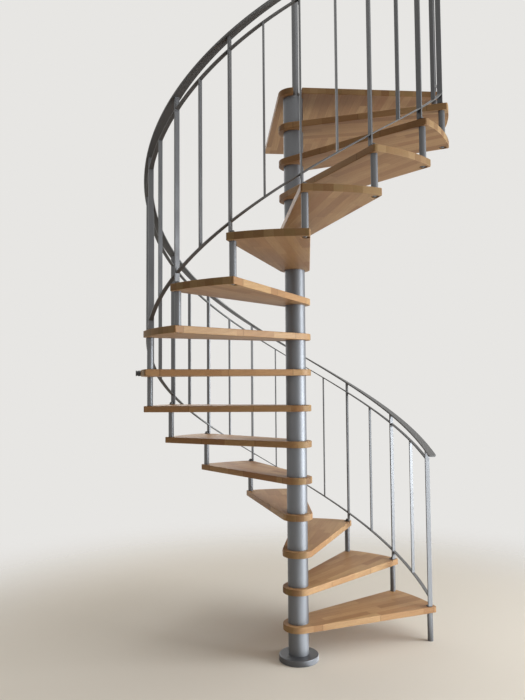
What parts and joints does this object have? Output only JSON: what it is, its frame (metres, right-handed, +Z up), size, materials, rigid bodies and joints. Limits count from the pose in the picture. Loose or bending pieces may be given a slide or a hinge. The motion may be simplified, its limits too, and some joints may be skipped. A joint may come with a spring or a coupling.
{
  "type": "spiral staircase",
  "caption": "Spiral staircase: wooden wedge treads on a round steel column, spacer tubes at the rim, a flat-bar balustrade and a square wooden landing.",
  "frame": {"origin": "on the floor, at the centre of the underside of the column's flange", "axes": "+Z is up along the column. The stair winds counter-clockwise as it rises, seen from above. The picture looks along +Y from the -Y side, with +X to its right."},
  "size_m": [1.5886, 1.7029, 3.8205],
  "materials": {
    "tread_wood": "satin varnish",
    "landing_wood": "satin varnish",
    "flange_paint": "metallic grey paint",
    "sleeve_paint": "metallic silver-grey paint",
    "spacer_paint": "metallic silver-grey paint",
    "baluster_paint": "metallic silver-grey paint",
    "thin_rail_paint": "metallic silver-grey paint",
    "handrail_paint": "metallic grey paint",
    "newel_paint": "metallic silver-grey paint",
    "wall_spacer_paint": "dark paint",
    "core_steel": "bare tube, hidden inside the column",
    "bolt_steel": "dark plated rods, nuts and cap nuts"
  },
  "bodies": {
    "root": {"base_flange": "flange_paint", "core_tube": "core_steel", "column_sleeves": "sleeve_paint", "column_head": "sleeve_paint", "tread_01": "tread_wood", "tread_02": "tread_wood", "tread_03": "tread_wood", "tread_04": "tread_wood", "tread_05": "tread_wood", "tread_06": "tread_wood", "tread_07": "tread_wood", "tread_08": "tread_wood", "tread_09": "tread_wood", "tread_10": "tread_wood", "tread_11": "tread_wood", "tread_12": "tread_wood", "tread_13": "tread_wood", "tread_14": "tread_wood", "tread_15": "tread_wood", "landing": "landing_wood", "spacer_tubes": "spacer_paint", "spacer_rods": "bolt_steel", "main_balusters": "baluster_paint", "infill_balusters": "baluster_paint", "bottom_rail": "thin_rail_paint", "second_rail": "thin_rail_paint", "handrail_1": "handrail_paint", "handrail_2": "handrail_paint", "handrail_3": "handrail_paint", "handrail_4": "handrail_paint", "handrail_5": "handrail_paint", "landing_newel": "newel_paint", "newel_cap": "newel_paint", "wall_spacer": "wall_spacer_paint"}
  },
  "joints": []
}
